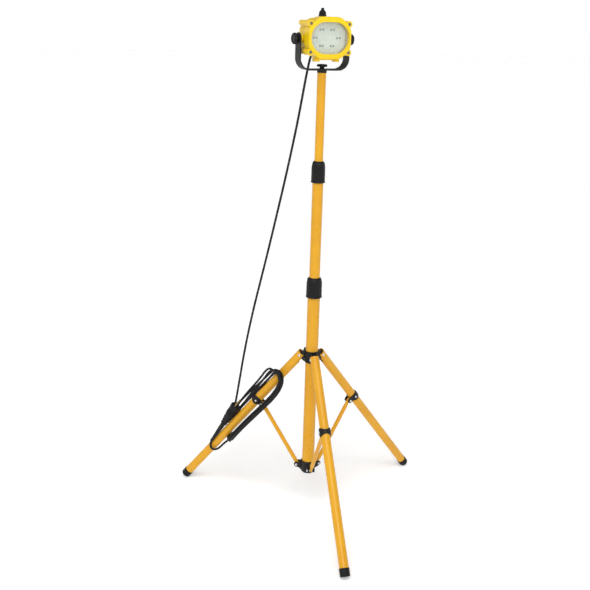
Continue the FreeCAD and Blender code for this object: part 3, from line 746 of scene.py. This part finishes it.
def leg_clip(leg):
    """Moulded clamp: a waisted band round the leg, two ears below it and bolt bosses at its sides."""
    bm = bmesh.new()
    around = 72
    inner, outer, soft = 14.05, 17.4, 1.1
    waist, flare, back = 6.6, 6.6, 8.0
    rows = []
    for k in range(around + 1):
        a = 2 * math.pi * k / around
        half = waist + flare * abs(math.sin(a)) ** 2.2
        if math.cos(a) < 0:
            half = max(half, back)
        section = [(inner, -half), (outer - soft, -half), (outer, -half + soft), (outer + 0.25, 0),
                   (outer, half - soft), (outer - soft, half), (inner, half)]
        rows.append([Vector((r * math.cos(a), r * math.sin(a), z)) for r, z in section])
    rows = [row for row in rows if row[2].x >= 0 or abs(row[2].y) >= CLIP_SLOT]
    first = min(range(len(rows)), key=lambda i: math.atan2(rows[i][2].y, rows[i][2].x))
    rows = rows[first:] + rows[:first]
    add_capped(bm, rows)
    ear = [(-x, z) for x, z in lug_outline(10, EAR_DROP, 8.6, 7.9)]
    for side in (-1, 1):
        boss = shift(0, side * BOSS_FACE, 0) @ facing((0, side, 0))
        add_turned(bm, [(0, 0), (7.2, 0), (6.9, 1.6), (6.0, 2.2), (0, 2.2)], 36, matrix=boss)
        add_plate(bm, ear, EAR_THICK, 0.8, shift(0, side * EAR_MIDDLE, 0))
    obj = finish_mesh(f"clip_{leg}", bm, leg_axes(leg) @ shift(z=CLIP_S), "black_nylon", 38)
    return settle(obj, body_of_leg(leg), f"leg_clip_{leg}")


def add_dome(bm, radius, height, place):
    """A domed rivet or bolt head with a small set edge."""
    edge = 0.5
    steps = 6
    outline = [(0, 0), (radius, 0), (radius, edge)]
    for k in range(1, steps):
        a = math.pi / 2 * k / steps
        outline.append((radius * math.cos(a), edge + (height - edge) * math.sin(a)))
    outline.append((0, height))
    add_turned(bm, outline, 28, matrix=place)


def add_nut(bm, across, height, place):
    """A six-sided nut with its corners turned off, and a bolt end standing out of it."""
    rows = []
    for scale, z in ((1.0, 0), (1.0, height * 0.8), (0.9, height)):
        rows.append([place @ Vector((across * scale * math.cos(math.pi * k / 3),
                                     across * scale * math.sin(math.pi * k / 3), z)) for k in range(6)])
    add_capped(bm, rows)
    add_turned(bm, [(0, height - 0.4), (across * 0.55, height - 0.4), (across * 0.5, height + 0.7),
                    (0, height + 0.8)], 18, matrix=place)


def add_pin(bm, half_length, place):
    """A plain pin along local y."""
    outline = [(0, -half_length), (PIN_R, -half_length), (PIN_R, half_length), (0, half_length)]
    add_turned(bm, outline, 20, matrix=place @ facing((0, 1, 0)))


def clip_fasteners(leg):
    """The strut's rivet through the ears, and the bolt ends and nuts at the band's sides."""
    bm = bmesh.new()
    for side in (-1, 1):
        turn = facing((0, side, 0))
        add_dome(bm, *RIVET_HEAD, shift(-EAR_DROP, side * EAR_FACE, 0) @ turn)
        if side > 0:
            add_dome(bm, 3.6, 2.2, shift(0, side * BOLT_FACE, 0) @ turn)
        else:
            add_nut(bm, 3.6, 2.0, shift(0, side * BOLT_FACE, 0) @ turn)
    add_pin(bm, EAR_FACE + 0.1, shift(-EAR_DROP))
    obj = finish_mesh(f"clip_fasteners_{leg}", bm, leg_axes(leg) @ shift(z=CLIP_S), "zinc_steel", 40)
    return settle(obj, body_of_leg(leg), f"clip_bolts_{leg}")


def leg_pivot(leg):
    """The rivet that holds the leg to the hub's tongue."""
    face = 13.4
    bm = bmesh.new()
    for side in (-1, 1):
        add_dome(bm, 4.4, 2.6, shift(0, side * face, 0) @ facing((0, side, 0)))
    add_pin(bm, face + 0.2, Matrix.Identity(4))
    obj = finish_mesh(f"pivot_{leg}", bm, leg_axes(leg), "zinc_steel", 40)
    return settle(obj, body_of_leg(leg), f"leg_rivet_{leg}")


FOOT_R = 15.2
FOOT_TALL = 24
FOOT_WEAR = 0.6                      # depth that is worn flat, below the floor


def foot_cap(leg):
    """Ribbed rubber cap, worn flat where it meets the floor."""
    cap_end = (HUB_Z + FOOT_WEAR - FOOT_R * math.sin(SPLAY)) / math.cos(SPLAY)
    bm = bmesh.new()
    r = FOOT_R
    outline = [
        (14.03, 0), (r - 0.5, 0), (r, 0.5), (r, 3.2), (r - 0.6, 3.9), (r - 0.6, 5.2), (r, 5.9), (r, 8.4),
        (r - 0.5, 9.1), (r - 0.35, 21.6), (r - 0.9, 23.0), (r - 2.4, FOOT_TALL), (0, FOOT_TALL),
    ]
    add_turned(bm, outline, 64)
    bm.transform(leg_axes(leg) @ shift(z=cap_end - FOOT_TALL))
    everything = bm.verts[:] + bm.edges[:] + bm.faces[:]
    cut = bmesh.ops.bisect_plane(bm, geom=everything, plane_co=(0, 0, 0), plane_no=(0, 0, -1),
                                 clear_outer=True)
    edges = [e for e in cut["geom_cut"] if isinstance(e, bmesh.types.BMEdge)]
    bmesh.ops.contextual_create(bm, geom=edges)
    obj = finish_mesh(f"foot_{leg}", bm, Matrix.Identity(4), "black_rubber", 35)
    return settle(obj, body_of_leg(leg), f"foot_cap_{leg}")


def strut_axes(leg):
    r, t = leg_directions(leg)
    up = r * math.sin(LINK_TILT) + UP * math.cos(LINK_TILT)
    out = r * math.cos(LINK_TILT) - UP * math.sin(LINK_TILT)
    return axes_matrix(r * PIVOT_RADIUS + UP * SPIDER_PIVOT.z, out, t, up)


STRUT_R = 6.5
STRUT_END_HALF = 6.6                 # half width of a pressed end
STRUT_END_THIN = 2.6                 # half thickness of a pressed end


def strut(leg):
    """A thin tube pressed flat at both ends, where the rivets pass."""
    bm = bmesh.new()
    rows = []
    sides = 28
    stations = [-6.4, -5.6, -3.6, 0, 7, 11, 16, 22, 28]
    stations += [LINK / 2] + [LINK - s for s in reversed(stations)]
    for z in stations:
        from_end = min(z, LINK - z)
        press = min(1.0, max(0.0, (from_end - 8) / 20))
        press = press * press * (3 - 2 * press)
        wide = STRUT_END_HALF + (STRUT_R - STRUT_END_HALF) * press
        thick = STRUT_END_THIN + (STRUT_R - STRUT_END_THIN) * press
        if from_end < 0:
            wide = max(0.8, STRUT_END_HALF * math.sqrt(max(0.0, 1 - (from_end / STRUT_END_HALF) ** 2)))
        power = 0.62 + 0.38 * press
        row = []
        for k in range(sides):
            a = 2 * math.pi * k / sides
            c, s = math.cos(a), math.sin(a)
            x = wide * math.copysign(abs(c) ** power, c)
            row.append(Vector((x, thick * math.copysign(abs(s) ** power, s), z)))
        rows.append(row)
    add_capped(bm, rows)
    obj = finish_mesh(f"strut_tube_{leg}", bm, strut_axes(leg), "golden_tube", 50)
    return settle(obj, f"strut_{leg}", f"strut_{leg}")


def lug_axes(leg, height):
    r, t = leg_directions(leg)
    m = Matrix((r, t, UP)).transposed().to_4x4()
    m.translation = r * PIVOT_RADIUS + UP * height
    return m


LUG_ROOT = -15.5                     # where a hub tongue or spider ear starts, inside its pivot
HUB_HALF = 18.5
SCREW_BOSS = 20                      # where the clamp screw's boss starts, from the mast's axis


def screw_axes():
    """The clamp screw's own axes: z points out from the mast along the joint."""
    return shift(z=joint_point("hub_clamp_turn").z) @ facing(JOINTS["hub_clamp_turn"]["axis"])


def hub():
    """Sliding hub: a collar with rolled lips, a gusseted tongue for each leg, and the clamp screw's boss."""
    low, high = HUB_Z - HUB_HALF, HUB_Z + HUB_HALF
    bm = bmesh.new()
    bore, r = 19.15, 22.4
    outline = [
        (bore, low + 1), (20, low), (r - 0.8, low), (r, low + 0.9), (r, low + 3.2), (r - 1.4, low + 4.6),
        (r - 1.4, high - 5.2), (r, high - 3.8), (r, high - 1.0), (r - 0.9, high), (20, high),
        (bore, high - 1), (bore, low + 1),
    ]
    add_turned(bm, outline, 72)
    gusset = [(-16, -17), (-11.5, -17), (-4.5, -9), (-4.5, 10), (-11, 16), (-16, 16)]
    for leg in LEGS:
        place = lug_axes(leg, HUB_Z)
        add_plate(bm, lug_outline(LUG_ROOT, 0, 12, 9), 13.8, 1.3, place)
        for side in (-1, 1):
            add_plate(bm, gusset, 3.0, 0.6, place @ shift(y=side * 8.8))
    boss = [(3.2, 0), (7.4, 0), (7.0, 8.8), (6.2, 9.8), (3.2, 9.8), (3.2, 0)]
    add_turned(bm, boss, 32, matrix=screw_axes() @ shift(z=SCREW_BOSS))
    obj = finish_mesh("leg_hub", bm, METRES, "black_nylon", 38)
    return settle(obj, "hub", "hub")


def spider():
    """Cup at the mast's foot with a pair of ears for each strut."""
    low, high = heights("spider")
    bm = bmesh.new()
    bore, r, corner, steps = 19.05, 23.0, 9, 6
    outline = [(0, low)]
    for k in range(steps + 1):
        a = math.pi / 2 * k / steps
        outline.append((r - corner + corner * math.sin(a) - 0.9, low + corner - corner * math.cos(a)))
    outline += [
        (r - 0.9, high - 9), (r, high - 7.6), (r, high - 1.2), (r - 1.0, high), (19.6, high),
        (bore, high - 0.8), (bore, low + corner), (0, low + corner),
    ]
    add_turned(bm, outline, 72)
    rib = [(LUG_ROOT, -17), (-12, -17), (-9, -9.5), (-9, 9.5), (-12, 14), (LUG_ROOT, 14)]
    for leg in LEGS:
        place = lug_axes(leg, SPIDER_PIVOT.z)
        for side in (-1, 1):
            ear_place = place @ shift(y=side * EAR_MIDDLE)
            add_plate(bm, lug_outline(LUG_ROOT, 0, 11, 8), EAR_THICK, 0.9, ear_place)
        add_plate(bm, rib, 13.0, 0.7, place)
    obj = finish_mesh("strut_spider", bm, METRES, "black_nylon", 38)
    return settle(obj, "root", "spider")


def spider_pins():
    """The rivets that hold the struts between the spider's ears."""
    bm = bmesh.new()
    for leg in LEGS:
        place = lug_axes(leg, SPIDER_PIVOT.z)
        for side in (-1, 1):
            add_dome(bm, *RIVET_HEAD, place @ shift(0, side * EAR_FACE, 0) @ facing((0, side, 0)))
        add_pin(bm, EAR_FACE + 0.1, place)
    return settle(finish_mesh("spider_pins", bm, METRES, "zinc_steel", 40), "root", "spider_rivets")


def hub_screw():
    """Lobed hand screw at the back of the hub."""
    place = screw_axes()
    bm = bmesh.new()
    stud = [(0, 22.9), (2.4, 22.9), (2.8, 23.4), (2.8, 30.4), (0, 30.4)]
    add_turned(bm, stud, 24, matrix=place)
    grip = [
        (0, 30.2), (4.4, 30.2), (4.8, 32), (7.4, 33.4), (8.2, 35), (8.2, 39), (7.4, 40.4), (5.4, 41), (0, 41),
    ]
    add_turned(bm, grip, sides=72, lobes=6, depth=1.3, lobe_span=(33, 40.6), matrix=place)
    obj = finish_mesh("hub_hand_screw", bm, METRES, "black_nylon", 38)
    return settle(obj, "hub_clamp", "hub_clamp_screw")


KNOB_STUD = 57                       # the tilt knob's stud and grip start here, from the head's middle
KNOB_GRIP = 75.6


def side_knob(side):
    """Tilt knob: a scalloped grip with a dished face."""
    sign = -1 if side == "left" else 1
    face = KNOB_GRIP
    place = shift(z=TILT_Z) @ facing((sign, 0, 0))
    bm = bmesh.new()
    stud = [(0, KNOB_STUD), (3.7, KNOB_STUD), (4.0, KNOB_STUD + 0.6), (4.0, face + 1), (0, face + 1)]
    add_turned(bm, stud, 24, matrix=place)
    outline = [
        (0, face), (9.5, face), (10.4, face + 0.7), (10.8, face + 3), (13.6, face + 4.4), (14.9, face + 5.8),
        (15.3, face + 8), (15.1, face + 12.2), (13.9, face + 14.2), (12.2, face + 15), (9.5, face + 14.8),
        (7.2, face + 13.8), (0, face + 13.5),
    ]
    grip_span = (face + 3.5, face + 14.9)
    add_turned(bm, outline, sides=96, lobes=8, depth=1.5, lobe_span=grip_span, matrix=place)
    obj = finish_mesh(f"tilt_knob_{side}", bm, METRES, "black_nylon", 38)
    return settle(obj, f"knob_{side}", f"side_knob_{side}")


def clamp_knob():
    """Flat hand nut over the yoke, with its stud below."""
    grip = 12.5
    low, high = heights("yoke_clamp_knob")
    top = high - grip
    bm = bmesh.new()
    add_turned(bm, [(0, low), (3.6, low), (4.0, low + 0.6), (4.0, top + 1), (0, top + 1)], 24)
    outline = [
        (0, top), (7.6, top), (7.9, top + 0.5), (6.2, top + 2.0), (5.8, top + 3.8), (7.6, top + 5.0),
        (14.2, top + 5.6), (15.5, top + 6.8), (15.6, top + 9.6), (14.4, top + 11.4),
        (11.5, top + 12.3), (0, top + grip),
    ]
    add_turned(bm, outline, sides=96, lobes=6, depth=1.2, lobe_span=(top + 5.2, top + 12))
    obj = finish_mesh("yoke_hand_nut", bm, METRES, "black_nylon", 38)
    return settle(obj, "clamp_knob", "yoke_clamp_knob")


def switch_boot():
    """Sealed rubber boot over the toggle: a ball with a ringed neck and a small tip."""
    bm = bmesh.new()
    outline = [
        (0, -5.8), (7.2, -5.8), (8.6, -4), (9.4, -1), (9.5, 0.8), (9.9, 1.4), (9.9, 2.6), (9.5, 4.6),
        (8.6, 6.8), (7.4, 8.4), (6.0, 9.7), (4.9, 10.5), (4.8, 11.2), (4.2, 11.7), (3.9, 12.1),
        (4.3, 13.0), (4.5, 14.0), (4.2, 15.2), (2.9, 16.1), (0, 16.6),
    ]
    add_turned(bm, outline, 48)
    place = METRES @ shift(*joint_point("switch_toggle"))
    return settle(finish_mesh("toggle_boot", bm, place, "black_rubber", 45), "switch", "switch_boot")


# Middles of the six pairs of emitters, sideways and upwards from the board's middle.
LED_PAIRS = [(-16, 21.3), (16, 21.3), (-35, 0), (35, 0), (-16, -21.3), (16, -21.3)]
LED_APART = 4                        # each emitter, from its pair's middle
LED_Y = -20.0                        # board's front face, by the head's middle
HEAD_LIFT = 4.0                      # board's middle, above the tilt axis


def leds():
    """Square chips, each under a moulded dome that comes up to the tray's face."""
    bm = bmesh.new()
    led_places = [(x + side, z) for x, z in LED_PAIRS for side in (-LED_APART, LED_APART)]
    for x, z in led_places:
        place = shift(x, LED_Y, TILT_Z + HEAD_LIFT + z) @ facing((0, -1, 0))
        rows = []
        for half, height in ((2.0, 0), (2.0, 1.0), (1.8, 1.2)):
            rows.append([place @ Vector((i * half, j * half, height)) for i, j in SQUARE])
        add_capped(bm, rows)
        dome = [(0, 1.15), (3.2, 1.15), (3.3, 1.6), (3.3, 3.0), (3.0, 4.2), (2.4, 5.1), (1.4, 5.8), (0, 6.1)]
        add_turned(bm, dome, 28, matrix=place)
    return settle(finish_mesh("led_domes", bm, METRES, "led_yellow", 40), "head", "leds")


def strain_relief():
    """Tapered ribbed sleeve where the cord leaves the head."""
    low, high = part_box("cord_strain_relief")
    start = Vector(((low.x + high.x) / 2, low.y, (low.z + high.z) / 2)) / MM
    length = (high.y - low.y) / MM
    bm = bmesh.new()
    outline = [(0, 0), (7.8, 0), (8.0, 0.6), (8.0, 3)]
    ribs = 5
    for k in range(ribs):
        z = 3 + (length - 4) * k / ribs
        r = 7.4 - 3.0 * k / ribs
        outline += [(r - 0.9, z + 0.3), (r - 0.9, z + 1.2), (r, z + 1.7), (r - 0.2, z + 3.0)]
    outline += [(4.3, length), (0, length)]
    add_turned(bm, outline, 40, matrix=shift(*start) @ facing((0, 1, 0)))
    return settle(finish_mesh("gland_sleeve", bm, METRES, "black_rubber", 38), "head", "cord_strain_relief")


PLUG_AXIS = ((298, 35.5, 6), (460, 13.5, 15))    # s, v, w: the plug's face, and where the cord enters


def plug():
    """Heavy rubber plug: a waisted grip with cross ribs, steps and a long ringed strain relief."""
    start, end = (by_leg(*p) / MM for p in PLUG_AXIS)
    along = end - start
    length = along.length
    bm = bmesh.new()
    outline = [(0, 0), (13.8, 0), (15.6, 0.8), (16.6, 2.4), (17, 5), (17, 13), (16.2, 15), (16.2, 17)]
    for k in range(5):
        z = 18 + 4.4 * k
        outline += [(16.6, z), (16.6, z + 1.8), (15.4, z + 2.5), (15.4, z + 3.7)]
    outline += [(15.8, 41), (14.0, 46)]
    for k in range(3):
        z = 47 + 12 * k
        outline += [(12.4 - k, z), (12.2 - k, z + 4), (13.8 - 1.5 * k, z + 5.5), (13.6 - 1.5 * k, z + 10)]
    rings = 9
    for k in range(rings):
        z = 84 + (length - 88) * k / rings
        r = 8.2 - 3.2 * k / rings
        outline += [(r - 1.0, z), (r - 1.0, z + 2.4), (r, z + 3.2), (r - 0.1, z + 6.2)]
    outline += [(4.7, length), (0, length)]
    place = shift(*start) @ facing(along)
    add_turned(bm, outline, sides=56, lobes=2, depth=1.2, lobe_span=(4, 44), matrix=place)
    return settle(finish_mesh("power_plug", bm, METRES, "cord_rubber", 36), "leg_left", "plug_body")


def soften(node, width, segments=3, angle=40):
    """Rounds a carried-over node's edges and shades it smooth."""
    obj = NODES[node]
    smooth(obj.data, angle)
    bevel = obj.modifiers.new("edges", "BEVEL")
    bevel.width = width * MM
    bevel.segments = segments
    bevel.limit_method = "ANGLE"
    bevel.angle_limit = math.radians(angle)
    bevel.harden_normals = False


def soften_nodes():
    for node in ("front_bezel", "rear_housing"):
        soften(node, width=0.9)
    soften("yoke", width=0.7)
    for node in ("switch_nut", "cable_gland", "mast_plug", "yoke_washer", "tilt_washers"):
        soften(node, width=0.5, segments=2)
    for node in ("bezel_screws", "plug_pins", "lens"):
        soften(node, width=0.3, segments=2)
    screws = NODES["bezel_screws"].data.materials
    screws.clear()
    screws.append(MATERIALS["dull_steel"])
    for node in ("lower_tube", "middle_tube", "upper_tube", "leg_front", "leg_right", "leg_left"):
        smooth(NODES[node].data, angle=30)


# ---------------------------------------------------------------- the scene

build_camera()
build_stage()
MATERIALS.update(build_materials())
dress_nodes()
run = build_cords()
plug_piece = plug()
build_coil(run[-1])
build_locks()
hub()
hub_screw()
spider()
spider_pins()
for leg in LEGS:
    leg_clip(leg)
    clip_fasteners(leg)
    leg_pivot(leg)
    foot_cap(leg)
    strut(leg)
for side in ("left", "right"):
    side_knob(side)
clamp_knob()
switch_boot()
leds()
strain_relief()
soften_nodes()
